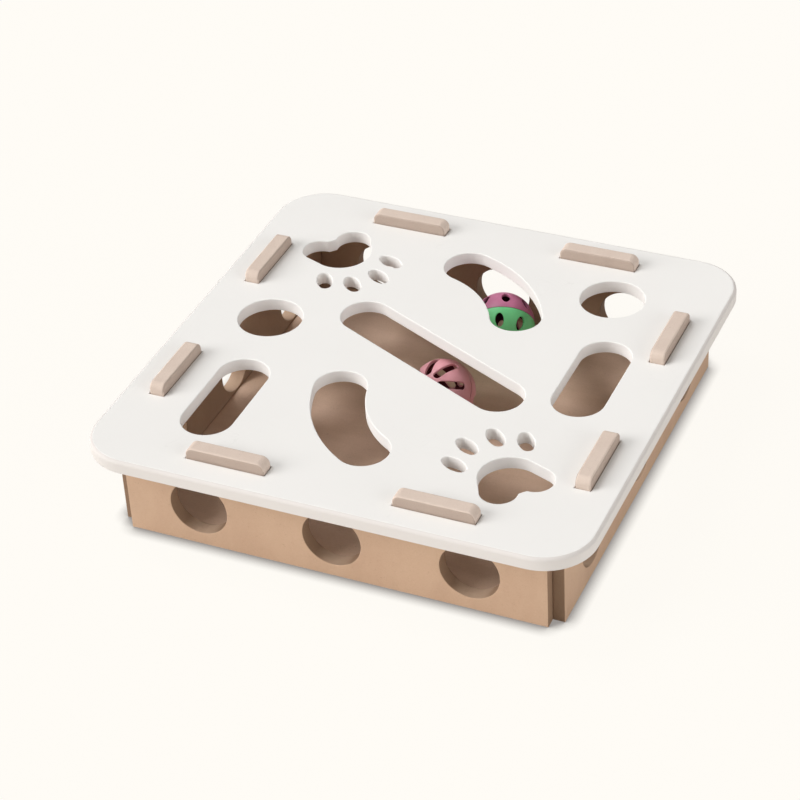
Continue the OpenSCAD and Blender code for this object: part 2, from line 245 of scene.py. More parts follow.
@dataclass(frozen=True)
class Finish:
    """What every finish has: a name, two colours, how rough and shiny it is, and its relief."""

    name: str
    colour: Triple
    second: Triple
    roughness: float
    roughness_span: Pair = (0.0, 0.0)
    gloss: float = 0.5
    metallic: float = 0.0
    relief: float = 0.1
    relief_depth: float = 0.2 * MM

    def material(self) -> bpy.types.Material:
        """Builds the finish's material once and hands it out again after that.

        Returns:
            The material.
        """
        made = bpy.data.materials.get(self.name)
        if made:
            return made
        made = bpy.data.materials.new(self.name)
        made.use_nodes = True
        made.node_tree.nodes.clear()
        sheet = NodeSheet(made.node_tree)
        colour, roughness, height = self.paint(sheet, sheet.add("ShaderNodeTexCoord").outputs["Object"])
        feeds = {"Strength": self.relief, "Distance": self.relief_depth, "Height": height}
        bump = sheet.add("ShaderNodeBump", feeds)
        shader = sheet.add("ShaderNodeBsdfPrincipled", {
            "Base Color": colour, "Roughness": roughness, "Normal": bump.outputs[0],
            "Specular IOR Level": self.gloss, "Metallic": self.metallic})
        sheet.add("ShaderNodeOutputMaterial", {"Surface": shader.outputs[0]})
        return made

    def paint(self, sheet: NodeSheet, spot: Socket) -> Surface:
        """Wires the finish's own pattern, which each kind of finish has to give."""
        raise NotImplementedError

    def roughness_over(self, sheet: NodeSheet, pattern: Socket) -> Socket:
        """Lets the roughness follow a pattern of 0 to 1, within the finish's span."""
        low, high = (self.roughness + step for step in self.roughness_span)
        return sheet.spread(pattern, low=0.0, high=1.0, to_low=low, to_high=high)


@dataclass(frozen=True)
class LacquerFinish(Finish):
    """Matt sprayed lacquer with faint mottling and scuffs."""

    roughness_span: Pair = (0.0, 0.10)
    gloss: float = 0.2
    skin_scale: float = 950.0
    cloud_scale: float = 11.0
    fibre_scale: float = 420.0
    fibre_relief: float = 0.5
    mottle_share: float = 0.55
    scuff_scale: float = 60.0
    scuff_share: float = 0.18
    scuff_colour: Triple = (0.62, 0.60, 0.57)
    scuff_dulling: float = 0.25

    def paint(self, sheet: NodeSheet, spot: Socket) -> Surface:
        """Wires mottled white with scuffs that dull it.

        Args:
            sheet: the material's sheet.
            spot: object coordinates in metres.

        Returns:
            The surface's colour, roughness and height.
        """
        skin = sheet.effect(ShaderGroups.moulded_skin(), Vector=spot, Scale=self.skin_scale)
        fibre = sheet.effect(ShaderGroups.board_fibre(), Vector=spot, Cloud_Scale=self.cloud_scale,
                             Fibre_Scale=self.fibre_scale)
        scuff = sheet.effect(ShaderGroups.scuff_marks(), Vector=spot, Scale=self.scuff_scale)
        plain = sheet.mix(sheet.times(fibre["Cloud"], self.mottle_share), self.colour, self.second)
        faint = sheet.times(scuff["Mask"], self.scuff_share)
        dull = sheet.scaled(faint, self.scuff_dulling, self.roughness_over(sheet, skin["Flow"]))
        fuzz = sheet.scaled(fibre["Height"], self.fibre_relief, skin["Height"])
        return sheet.mix(faint, plain, self.scuff_colour), dull, sheet.math("ADD", fuzz, scuff["Height"])


@dataclass(frozen=True)
class FibreboardFinish(Finish):
    """Bare pressed fibreboard with fibres, flecks and broad clouds, as its faces show it."""

    roughness_span: Pair = (-0.06, 0.08)
    relief: float = 0.25
    relief_depth: float = 0.4 * MM
    fibre_scale: float = 900.0
    fibre_share: float = 0.35
    cloud_scale: float = 24.0
    cloud_share: float = 0.3
    fleck: Triple = (0.20, 0.11, 0.06)
    fleck_share: float = 0.30
    streak: Triple = (1.0, 1.0, 0.3)
    streak_scale: float = 55.0
    streak_share: float = 0.35
    # Painted light: a paler colour low down, standing for light falling on a bore's lower sill.
    rubbed: Triple | None = None
    painted_light_reach: Pair = (9.0 * MM, 14.0 * MM)
    painted_light_wander: float = 3.0 * MM

    def paint(self, sheet: NodeSheet, spot: Socket) -> Surface:
        """Wires fibres over clouds and drawn-out streaks, with scattered flecks and a paler foot of painted light.

        Args:
            sheet: the material's sheet.
            spot: object coordinates in metres.

        Returns:
            The surface's colour, roughness and height.
        """
        fibre = sheet.effect(ShaderGroups.board_fibre(), Vector=spot, Cloud_Scale=self.cloud_scale,
                             Fibre_Scale=self.fibre_scale)
        drawn = sheet.add("ShaderNodeMapping", {"Vector": spot, "Scale": self.streak}).outputs[0]
        lines = sheet.noise(drawn, self.streak_scale, detail=3.0, rough=0.55, warp=0.4)
        streaky = sheet.spread(lines, low=0.35, high=0.65, to_high=self.streak_share)
        cloudy = sheet.scaled(fibre["Cloud"], self.cloud_share, streaky)
        plain = sheet.mix(sheet.scaled(fibre["Fibre"], self.fibre_share, cloudy), self.colour, self.second)
        tone = sheet.mix(sheet.times(fibre["Fleck"], self.fleck_share), plain, self.fleck)
        # Painted light: the lower part turns paler, with a wandering edge.
        if self.rubbed:
            height = sheet.scaled(fibre["Cloud"], self.painted_light_wander, sheet.parts(spot)["Z"])
            painted_lit_sill = sheet.spread(height, *self.painted_light_reach, to_low=1.0, to_high=0.0)
            tone = sheet.mix(painted_lit_sill, tone, self.rubbed)
        return tone, self.roughness_over(sheet, fibre["Fibre"]), fibre["Height"]


@dataclass(frozen=True)
class CutFibreboardFinish(FibreboardFinish):
    """Fibreboard where it was sawn, drilled or sanded, with finer and deeper fibres."""

    relief: float = 0.45
    fibre_scale: float = 1300.0


@dataclass(frozen=True)
class PlasticFinish(Finish):
    """Moulded plastic with a soft gloss."""

    roughness_span: Pair = (-0.05, 0.06)
    gloss: float = 0.28
    relief: float = 0.08
    skin_scale: float = 1400.0
    scuff_scale: float = 240.0
    scuff_dulling: float = 0.18

    def paint(self, sheet: NodeSheet, spot: Socket) -> Surface:
        """Wires faint flow shades, scuffs and an orange-peel skin.

        Args:
            sheet: the material's sheet.
            spot: object coordinates in metres.

        Returns:
            The surface's colour, roughness and height.
        """
        skin = sheet.effect(ShaderGroups.moulded_skin(), Vector=spot, Scale=self.skin_scale)
        scuff = sheet.effect(ShaderGroups.scuff_marks(), Vector=spot, Scale=self.scuff_scale)
        rubbed = sheet.scaled(scuff["Mask"], self.scuff_dulling, self.roughness_over(sheet, skin["Flow"]))
        return sheet.mix(skin["Flow"], self.colour, self.second), rubbed, skin["Height"]


@dataclass(frozen=True)
class NickelFinish(PlasticFinish):
    """Pressed sheet with nickel plate, scuffed as the plastic is."""

    roughness_span: Pair = (0.0, 0.0)
    gloss: float = 0.5
    metallic: float = 1.0
    relief: float = 0.05
    relief_depth: float = 0.1 * MM
    skin_scale: float = 2600.0
    scuff_scale: float = 500.0
    scuff_dulling: float = 0.25


LID_WHITE = LacquerFinish("matt_white_lacquer", (0.86, 0.84, 0.81), (0.83, 0.81, 0.78), 0.46)
# Painted light: the cut-out walls are paler than the top, standing for the low light from the left falling on them.
LID_CUT_PAINTED_LIGHT = LacquerFinish("lacquered_cut_edge_painted_light", (0.915, 0.89, 0.865), (0.885, 0.86, 0.835), 0.50)
# Painted shade: the outer rim is darker and warmer than the top, standing for its shade and the walls' brown
# bounce, and damping the arris highlight.
LID_RIM_PAINTED_SHADE = LacquerFinish("lacquered_outer_rim_painted_shade", (0.73, 0.685, 0.65), (0.70, 0.65, 0.615), 0.55)
WALL_FACE = FibreboardFinish("wall_fibreboard_face", (0.585, 0.395, 0.265), (0.505, 0.322, 0.213), 0.70)
# Painted shade: the walls' inner faces are darker, standing for the shade inside the box.
WALL_INSIDE_PAINTED_SHADE = FibreboardFinish("wall_fibreboard_inner_face_painted_shade", (0.44, 0.30, 0.205), (0.35, 0.23, 0.15), 0.76)
# Partly the cut edge's own paler tone, partly painted light: the tenons' tops and ends are lightened as if lit from
# above.
WALL_TENON_CUT_EDGE_AND_PAINTED_LIGHT = CutFibreboardFinish(
    "wall_fibreboard_tenon_cut_edge_painted_light", (0.715, 0.588, 0.50), (0.635, 0.507, 0.425), 0.80)
# Painted shade: the tenons' broad faces are darker than their tops, as light from above leaves them, and paler than
# the wall face for a painted bounce from the lid.
WALL_TENON_SIDE_PAINTED_SHADE = CutFibreboardFinish(
    "wall_fibreboard_tenon_side_painted_shade", (0.52, 0.41, 0.34), (0.455, 0.35, 0.288), 0.80)
# Painted shade: the bores are darker than the face for the shade inside the holes, with painted light on their
# lower sill.
WALL_BORE_PAINTED_SHADE = CutFibreboardFinish(
    "wall_fibreboard_bore_painted_shade", (0.30, 0.188, 0.116), (0.25, 0.152, 0.092), 0.80, rubbed=(0.54, 0.385, 0.275))
# Painted shade: the walls' ends are darkened for the shade in the corner notches.
WALL_END_PAINTED_SHADE = CutFibreboardFinish(
    "wall_fibreboard_end_painted_shade", (0.30, 0.185, 0.112), (0.235, 0.14, 0.082), 0.78)
FLOOR_FACE = FibreboardFinish(
    "floor_fibreboard", (0.75, 0.545, 0.42), (0.595, 0.415, 0.295), 0.66, streak=(0.22, 1.0, 1.0), streak_share=0.5)
MAUVE = PlasticFinish("mauve_shell", (0.65, 0.225, 0.375), (0.56, 0.175, 0.31), 0.38)
GREEN = PlasticFinish("green_shell", (0.25, 0.87, 0.38), (0.20, 0.77, 0.31), 0.38)
PINK = PlasticFinish("pink_shell", (0.82, 0.405, 0.45), (0.75, 0.33, 0.37), 0.38)
# Painted shade: the shells' inner faces are dark tones of their plastic, standing for the shade inside the balls.
MAUVE_INSIDE_PAINTED_SHADE = PlasticFinish("mauve_shell_inside_painted_shade", (0.13, 0.020, 0.050), (0.10, 0.015, 0.038), 0.55)
GREEN_INSIDE_PAINTED_SHADE = PlasticFinish("green_shell_inside_painted_shade", (0.012, 0.085, 0.022), (0.009, 0.065, 0.016), 0.55)
PINK_INSIDE_PAINTED_SHADE = PlasticFinish("pink_shell_inside_painted_shade", (0.19, 0.030, 0.045), (0.15, 0.022, 0.034), 0.55)
NICKEL = NickelFinish("nickel_plate", (0.44, 0.43, 0.40), (0.36, 0.35, 0.325), 0.30)


def stand(name: str, data: Any) -> bpy.types.Object:
    """Puts a new object in the scene.

    Args:
        name: its name.
        data: its mesh, lamp or camera.

    Returns:
        The object.
    """
    made = bpy.data.objects.new(name, data)
    bpy.context.scene.collection.objects.link(made)
    return made


class Workshop:
    """Turns trees, modifiers and copies into finished pieces."""

    sharp_turn: float = math.radians(38.0)
    flat_turn: float = math.radians(0.4)
    same_spot: float = 2e-6
    broad_face_weight: int = 80

    @classmethod
    def bake(cls, name: str, mesh: bpy.types.Mesh, soften: float = 0.0, rings: int = 3) -> bpy.types.Object:
        """Rounds a mesh's sharp edges, if asked, and makes it a piece at the origin.

        Args:
            name: the piece's name.
            mesh: its mesh, in its place.
            soften: the radius of the edges in metres, or 0 to leave them.
            rings: faces across each rounded edge.

        Returns:
            The piece, with its modifiers applied.
        """
        rough = stand(name + "_rough", mesh)
        for polygon in mesh.polygons:
            polygon.use_smooth = True
        if soften:
            bevel = rough.modifiers.new("soft_edges", "BEVEL")
            bevel.width = soften
            bevel.segments = rings
            bevel.limit_method = "WEIGHT" if "bevel_weight_edge" in mesh.attributes else "ANGLE"
            bevel.angle_limit = cls.sharp_turn
            bevel.use_clamp_overlap = False
            bevel.loop_slide = False
        weight = rough.modifiers.new("even_normals", "WEIGHTED_NORMAL")
        weight.keep_sharp = True
        weight.weight = cls.broad_face_weight
        final = cls.plain_mesh(rough)
        final.name = name
        return stand(name, final)

    @staticmethod
    def plain_mesh(rough: bpy.types.Object) -> bpy.types.Mesh:
        """Applies an object's modifiers and removes the object.

        Args:
            rough: the object with its modifiers.

        Returns:
            The mesh that they make.
        """
        graph = bpy.context.evaluated_depsgraph_get()
        mesh = bpy.data.meshes.new_from_object(rough.evaluated_get(graph))
        bpy.data.objects.remove(rough)
        return mesh

    @classmethod
    def copy_of(cls, node: str, finish: Finish) -> bpy.types.Mesh:
        """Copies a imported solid's mesh with its triangles merged to plain faces.

        Args:
            node: the solid's name.
            finish: the finish all over the copy.

        Returns:
            The merged copy.
        """
        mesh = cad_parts[node].data.copy()
        work = bmesh.new()
        work.from_mesh(mesh)
        bmesh.ops.remove_doubles(work, verts=work.verts, dist=cls.same_spot)
        bmesh.ops.dissolve_degenerate(work, edges=work.edges, dist=cls.same_spot)
        bmesh.ops.dissolve_limit(work, angle_limit=cls.flat_turn, verts=work.verts, edges=work.edges)
        work.to_mesh(mesh)
        work.free()
        if "custom_normal" in mesh.attributes:
            mesh.attributes.remove(mesh.attributes["custom_normal"])
        mesh.materials.clear()
        mesh.materials.append(finish.material())
        return mesh

    @classmethod
    def grow(cls, tree: bpy.types.NodeTree, owner: Any, values: dict[str, Any]) -> bpy.types.Mesh:
        """Runs a geometry tree.

        Args:
            tree: the tree, with named inputs.
            owner: the sub-assembly whose fields give the inputs of the same name.
            values: its other inputs by name.

        Returns:
            The plain mesh that it makes.
        """
        values = {name.replace("_", " ").title(): size for name, size in vars(owner).items()} | values
        seed = stand("seed", bpy.data.meshes.new("seed"))
        modifier = seed.modifiers.new("tree", "NODES")
        modifier.node_group = tree
        for item in tree.interface.items_tree:
            if item.in_out == "INPUT":
                modifier[item.identifier] = values[item.name]
        return cls.plain_mesh(seed)

    @staticmethod
    def place(piece: bpy.types.Object, body: str, slot: str, *nodes: str) -> None:
        """Ties a piece to its body and hides the solids that it stands for.

        Args:
            piece: the finished piece.
            body: the body that it rides on.
            slot: not used.
            nodes: the solids that it replaces.
        """
        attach(piece, body)
        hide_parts(*nodes)
        LOG.info("%s: %d faces on %s", piece.name, len(piece.data.polygons), body)


class GeometrySheet(NodeSheet):
    """A geometry tree with named inputs and the steps that the boards and shells share."""

    def __init__(self, name: str, inputs: dict[str, str]) -> None:
        """Opens the tree.

        Args:
            name: the tree's name.
            inputs: socket types by input name.
        """
        super().__init__(bpy.data.node_groups.new(name, "GeometryNodeTree"))
        self.tree.is_modifier = True
        for title, kind in inputs.items():
            self.tree.interface.new_socket(title, in_out="INPUT", socket_type=kind)
        self.tree.interface.new_socket("Geometry", in_out="OUTPUT", socket_type="NodeSocketGeometry")
        entry = self.add("NodeGroupInput")
        self.given = {title: entry.outputs[title] for title in inputs}

    def block(self, size: Socket, middle: Any) -> Socket:
        """Adds a box of the given size about its middle."""
        return self.move(self.add("GeometryNodeMeshCube", {"Size": size}).outputs[0], middle)

    def move(self, shape: Socket, middle: Any = (0.0, 0.0, 0.0), turn: Triple = (0.0, 0.0, 0.0)) -> Socket:
        """Turns a shape about its origin and then moves it."""
        feeds = {"Geometry": shape, "Translation": middle, "Rotation": turn}
        return self.add("GeometryNodeTransform", feeds).outputs[0]

    def realized(self, shape: Socket) -> Socket:
        """Turns instances into plain geometry."""
        return self.add("GeometryNodeRealizeInstances", {0: shape}).outputs[0]

    def row(self, shape: Socket, count: int, start: Any, step: Any) -> Socket:
        """Repeats a shape along a line.

        Args:
            shape: the shape.
            count: how many.
            start: where the first one goes.
            step: from each one to the next.

        Returns:
            The row, realized.
        """
        line = self.add("GeometryNodeMeshLine", {"Count": count, "Start Location": start, "Offset": step})
        put = self.add("GeometryNodeInstanceOnPoints", {"Points": line.outputs[0], "Instance": shape})
        return self.realized(put.outputs[0])

    def round_box(self, width: Any, height: Any, radius: Any, points: int) -> Socket:
        """Draws a rectangle with round corners.

        Args:
            width: its side along X.
            height: its side along Y.
            radius: the radius of its corners.
            points: how many points make a corner.

        Returns:
            The closed curve.
        """
        box = self.add("GeometryNodeCurvePrimitiveQuadrilateral", {"Width": width, "Height": height}).outputs[0]
        feeds = {"Curve": box, "Count": points, "Radius": radius}
        return self.add("GeometryNodeFilletCurve", feeds, mode="POLY").outputs[0]

    def prism(self, outline: Socket, low: Any, high: Any) -> Socket:
        """Raises an outline along Z into a closed prism.

        Args:
            outline: a closed curve in the XY plane.
            low: where the prism starts.
            high: where it ends.

        Returns:
            The prism.
        """
        ends = {"Start": self.vector(z=low), "End": self.vector(z=high)}
        path = self.add("GeometryNodeCurvePrimitiveLine", ends).outputs[0]
        feeds = {"Curve": path, "Profile Curve": outline, "Fill Caps": True}
        return self.add("GeometryNodeCurveToMesh", feeds).outputs[0]

    def combine(self, operation: str, first: Socket | None, *others: Socket) -> Socket:
        """Joins or cuts solids.

        Args:
            operation: UNION, DIFFERENCE or INTERSECT.
            first: the solid that is cut, or None.
            others: the other solids.

        Returns:
            The result.
        """
        node = self.add("GeometryNodeMeshBoolean", operation=operation, solver="EXACT")
        if first is not None:
            self.tree.links.new(first, node.inputs["Mesh 1"])
        for other in others:
            self.tree.links.new(other, node.inputs["Mesh 2"])
        return node.outputs["Mesh"]

    def leave(self, shape: Socket, *dressing: tuple[Socket, Any]) -> bpy.types.NodeTree:
        """Closes the tree with realized, dressed geometry.

        Args:
            shape: the final geometry.
            dressing: pairs of a material socket and the selection that it covers, or True for all.

        Returns:
            The tree.
        """
        last = self.realized(shape)
        for material, where in dressing:
            feeds = {"Geometry": last, "Material": material, "Selection": where}
            last = self.add("GeometryNodeSetMaterial", feeds).outputs[0]
        self.add("NodeGroupOutput", {"Geometry": last})
        return self.tree


@dataclass
class LidBoard:
    """The white lid with its cut-outs and mortises, raised ring by ring with round edges."""

    thickness: float = 8.0 * MM
    middle_height: float = 56.0 * MM
    rim_radius: float = 2.4 * MM
    rim_low_radius: float = 0.25 * MM
    cut_radius: float = 0.6 * MM
    edge_rings: int = 6
    cut_slope: float = 0.6
    rim_slope: float = 0.97
    rim_reach: float = 139.0 * MM
    sharpest_mitre: float = 1.5

    def outlines(self) -> list[list[Vector]]:
        """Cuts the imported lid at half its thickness.

        Returns:
            The corners of each closed outline.
        """
        work = bmesh.new()
        work.from_mesh(Workshop.copy_of("lid_panel", LID_WHITE))
        bmesh.ops.bisect_plane(work, geom=work.verts[:] + work.edges[:] + work.faces[:],
                               plane_co=(0.0, 0.0, self.middle_height), plane_no=(0.0, 0.0, 1.0),
                               clear_inner=True, clear_outer=True)
        bmesh.ops.remove_doubles(work, verts=work.verts, dist=Workshop.same_spot)
        left = dict.fromkeys(work.verts)
        found = []
        while left:
            step = next(iter(left))
            line = []
            while step:
                del left[step]
                line.append(step.co.copy())
                step = next((end for edge in step.link_edges for end in edge.verts if end in left), None)
            found.append(line)
        work.free()
        return found

    def outward(self, line: list[Vector], outer: bool) -> list[Vector]:
        """Finds which way the open air lies at each corner of an outline.

        Args:
            line: the outline's corners.
            outer: whether it is the lid's own rim and not a cut-out.

        Returns:
            The directions, lengthened at bends so that an inset keeps its width.
        """
        pairs = list(zip(line, line[1:] + line[:1]))
        turning = sum(here.x * after.y - after.x * here.y for here, after in pairs)
        side = math.copysign(1.0, turning) * (-1.0 if outer else 1.0)
        across = [Vector((here.y - after.y, after.x - here.x, 0.0)).normalized() * side
                  for here, after in pairs]
        ways = []
        for before, after in zip(across[-1:] + across[:-1], across):
            middle = (before + after).normalized()
            ways.append(middle / max(middle.dot(after), 1.0 / self.sharpest_mitre))
        return ways

    def profile(self, top_radius: float, low_radius: float) -> list[Pair]:
        """Draws the edge from the top face round to the underside.

        Args:
            top_radius: the radius of the upper arris.
            low_radius: the radius of the lower arris.

        Returns:
            Pairs of the height over the lid's middle and the inset from the outline.
        """
        turns = [QUARTER_TURN * k / self.edge_rings for k in range(self.edge_rings + 1)]
        top, low = ([(self.thickness / 2 - radius * (1.0 - math.cos(turn)), radius * (1.0 - math.sin(turn)))
                     for turn in turns] for radius in (top_radius, low_radius))
        return top + [(-rise, inset) for rise, inset in reversed(low)]

    def raised(self) -> bpy.types.Mesh:
        """Raises the outlines to a board.

        Returns:
            The board's mesh.
        """
        work = bmesh.new()
        lines = self.outlines()
        rim = max(lines, key=lambda line: max(corner.x for corner in line))
        caps: list[list[bmesh.types.BMEdge]] = [[], []]
        for line in lines:
            outer = line is rim
            ways = self.outward(line, outer)
            radii = (self.rim_radius, self.rim_low_radius) if outer else (self.cut_radius, self.cut_radius)
            rings = []
            for rise, inset in self.profile(*radii):
                places = [corner - way * inset for corner, way in zip(line, ways)]
                height = self.middle_height + rise
                rings.append([work.verts.new((place.x, place.y, height)) for place in places])
            for upper, lower in zip(rings, rings[1:]):
                for k in range(len(line)):
                    work.faces.new((upper[k - 1], lower[k - 1], lower[k], upper[k]))
            for cap, ring in zip(caps, (rings[0], rings[-1])):
                cap += [work.edges.get((ring[k - 1], ring[k])) for k in range(len(ring))]
        for cap in caps:
            bmesh.ops.triangle_fill(work, use_beauty=True, use_dissolve=False, edges=cap)
        bmesh.ops.recalc_face_normals(work, faces=work.faces)
        mesh = bpy.data.meshes.new("lid_board")
        work.to_mesh(mesh)
        work.free()
        return mesh

    def dress(self, mesh: bpy.types.Mesh) -> None:
        """Gives the faces their white, the outer rim its painted shade and the cut edges their painted light.

        Args:
            mesh: the board.
        """
        finishes = (LID_WHITE, LID_RIM_PAINTED_SHADE, LID_CUT_PAINTED_LIGHT)
        for finish in finishes:
            mesh.materials.append(finish.material())
        # Painted shade on the outer rim's rounded sides, painted light on the cut-out walls.
        for face in mesh.polygons:
            outside = max(abs(face.center.x), abs(face.center.y)) > self.rim_reach
            if abs(face.normal.z) < (self.rim_slope if outside else self.cut_slope):
                face.material_index = finishes.index(LID_RIM_PAINTED_SHADE if outside else LID_CUT_PAINTED_LIGHT)

    def build(self) -> None:
        """Makes the lid and puts it in its place."""
        mesh = self.raised()
        self.dress(mesh)
        Workshop.place(Workshop.bake("lid_board", mesh), "lid", "lid_board", "lid_panel")


@dataclass
class WallBoards:
    """The four tenoned walls, made by one tree."""

    half_length: float = 126.5 * MM
    height: float = 52.0 * MM
    thickness: float = 9.0 * MM
    inner_face: float = 124.5 * MM
    hole_diameter: float = 35.0 * MM
    hole_pitch: float = 81.5 * MM
    hole_sill: float = 8.0 * MM
    hole_sides: int = 80
    tenon_length: float = 48.0 * MM
    tenon_place: float = 62.0 * MM
    tenon_height: float = 14.7 * MM
    tenon_radius: float = 4.5 * MM
    tenon_corner_points: int = 10
    mitre_gap: float = 0.1 * MM
    stub_length: float = 44.3 * MM
    stub_thickness: float = 3.3 * MM
    stub_middle: float = 3.5 * MM
    stub_depth: float = 4.15 * MM
    arris: float = 0.55 * MM
    tenon_arris: float = 1.0 * MM
    square_on: float = 0.9

    zones: ClassVar[dict[str, Finish]] = {
        "Face Material": WALL_FACE, "Inside Painted Shade Material": WALL_INSIDE_PAINTED_SHADE, "Bore Painted Shade Material": WALL_BORE_PAINTED_SHADE,
        "End Painted Shade Material": WALL_END_PAINTED_SHADE, "Tenon Material": WALL_TENON_CUT_EDGE_AND_PAINTED_LIGHT, "Tenon Side Painted Shade Material": WALL_TENON_SIDE_PAINTED_SHADE}

    def tree(self) -> bpy.types.NodeTree:
        """Builds the tree of one wall at the front.

        Returns:
            The geometry tree.
        """
        sizes = ("Half Length", "Height", "Thickness", "Inner Face", "Hole Diameter", "Hole Pitch", "Hole Sill",
                 "Tenon Length", "Tenon Place", "Tenon Height", "Tenon Radius", "Mitre Gap", "Stub Length",
                 "Stub Thickness", "Stub Middle", "Stub Depth")
        sheet = GeometrySheet("tenoned_wall", dict.fromkeys(sizes, NUMBER) | dict.fromkeys(self.zones, MATERIAL))
        given, times, vector = sheet.given, sheet.times, sheet.vector
        height, thick, place, pitch = (given[size] for size in ("Height", "Thickness", "Tenon Place", "Hole Pitch"))
        upright = (QUARTER_TURN, 0.0, 0.0)
        inner_y = times(given["Inner Face"], -1.0)
        middle_y = sheet.scaled(thick, -0.5, inner_y)
        half_height, half_thick = times(height, 0.5), times(thick, 0.5)
        board_size = vector(times(given["Half Length"], 2.0), thick, height)
        board = sheet.block(board_size, vector(0.0, middle_y, half_height))

        outline = sheet.round_box(given["Tenon Length"], times(given["Tenon Height"], 2.0), given["Tenon Radius"],
                                  self.tenon_corner_points)
        tenon = sheet.move(sheet.prism(outline, times(half_thick, -1.0), half_thick), turn=upright)
        first_x, span = times(place, -1.0), vector(times(place, 2.0))
        tenons = sheet.row(tenon, 2, vector(first_x, middle_y, height), span)

        radius = times(given["Hole Diameter"], 0.5)
        feeds = {"Vertices": self.hole_sides, "Radius": radius, "Depth": times(thick, 3.0)}
        drill = sheet.move(sheet.add("GeometryNodeMeshCylinder", feeds).outputs[0], turn=upright)
        first_hole = vector(times(pitch, -1.0), middle_y, sheet.math("ADD", given["Hole Sill"], radius))
        holes = sheet.row(drill, 3, first_hole, vector(pitch))

        stub_size = vector(given["Stub Length"], times(given["Stub Depth"], 2.0), given["Stub Thickness"])
        stub = sheet.block(stub_size, (0.0, 0.0, 0.0))
        stubs = sheet.row(stub, 2, vector(first_x, inner_y, given["Stub Middle"]), span)

        wedge_y = sheet.scaled(given["Mitre Gap"], -0.5, half_thick)
        wedge_size = vector(times(thick, 2.0), thick, times(height, 1.2))
        wedge = sheet.block(wedge_size, vector(0.0, wedge_y, half_height))
        mitres = [sheet.move(wedge, vector(times(given["Inner Face"], side), inner_y),
                             (0.0, 0.0, -side * QUARTER_TURN / 2)) for side in (-1.0, 1.0)]

        whole = sheet.combine("UNION", None, board, tenons)
        cut = sheet.combine("DIFFERENCE", whole, holes, stubs, *mitres)
        return sheet.leave(cut, *zip((given[zone] for zone in self.zones), self.selections(sheet)))

    def selections(self, sheet: GeometrySheet) -> list[Any]:
        """Finds the faces of each zone of a wall.

        Args:
            sheet: the wall's sheet.

        Returns:
            The selections, in the order of the zones, each one over those before it.
        """
        math_of = sheet.math
        facing = sheet.parts(sheet.add("GeometryNodeInputNormal").outputs[0])["Y"]
        spot = sheet.parts(sheet.add("GeometryNodeInputPosition").outputs[0])
        shaded_inside = math_of("GREATER_THAN", facing, self.square_on)
        edge = math_of("LESS_THAN", math_of("ABSOLUTE", facing), self.square_on)
        beyond = math_of("GREATER_THAN", math_of("ABSOLUTE", spot["X"]), sheet.given["Inner Face"])
        raised = math_of("GREATER_THAN", spot["Z"], sheet.given["Height"])
        # The inner faces, edges, corner ends and tenon sides take finishes with painted shade; the tenon tops and
        # ends take a cut-edge tone with painted light.
        return [True, shaded_inside, edge, sheet.times(edge, beyond), raised, math_of("GREATER_THAN", raised, edge)]

    def weigh(self, mesh: bpy.types.Mesh) -> None:
        """Marks how far each sharp edge is rounded: the tenons' edges more than the board's.

        Args:
            mesh: the wall at the front.
        """
        work = bmesh.new()
        work.from_mesh(mesh)
        weight = work.edges.layers.float.new("bevel_weight_edge")
        for edge in work.edges:
            if edge.calc_face_angle(0.0) > Workshop.sharp_turn:
                first, second = (corner.co.z for corner in edge.verts)
                on_tenon = min(first, second) > self.height - self.arris
                at_foot = abs(first - second) + abs(first - self.height) < self.arris
                edge[weight] = 1.0 if on_tenon and not at_foot else self.arris / self.tenon_arris
        work.to_mesh(mesh)
        work.free()

    def build(self) -> None:
        """Grows one wall and sets its copies round the box."""
        materials = {zone: finish.material() for zone, finish in self.zones.items()}
        front = Workshop.grow(self.tree(), self, materials)
        self.weigh(front)
        for side in Side:
            name = side.name.lower() + "_wall"
            piece = Workshop.bake(name + "_board", front.copy(), self.tenon_arris)
            piece.data.transform(Matrix.Rotation(side.value * QUARTER_TURN, 4, "Z"))
            Workshop.place(piece, "box", "wall_board", name)


@dataclass
class FloorBoard:
    """The floor between the walls."""

    arris: float = 0.4 * MM

    def build(self) -> None:
        """Rounds the floor's edges and dresses it."""
        piece = Workshop.bake("floor_board", Workshop.copy_of("floor_panel", FLOOR_FACE), self.arris)
        Workshop.place(piece, "box", "floor_board", "floor_panel")


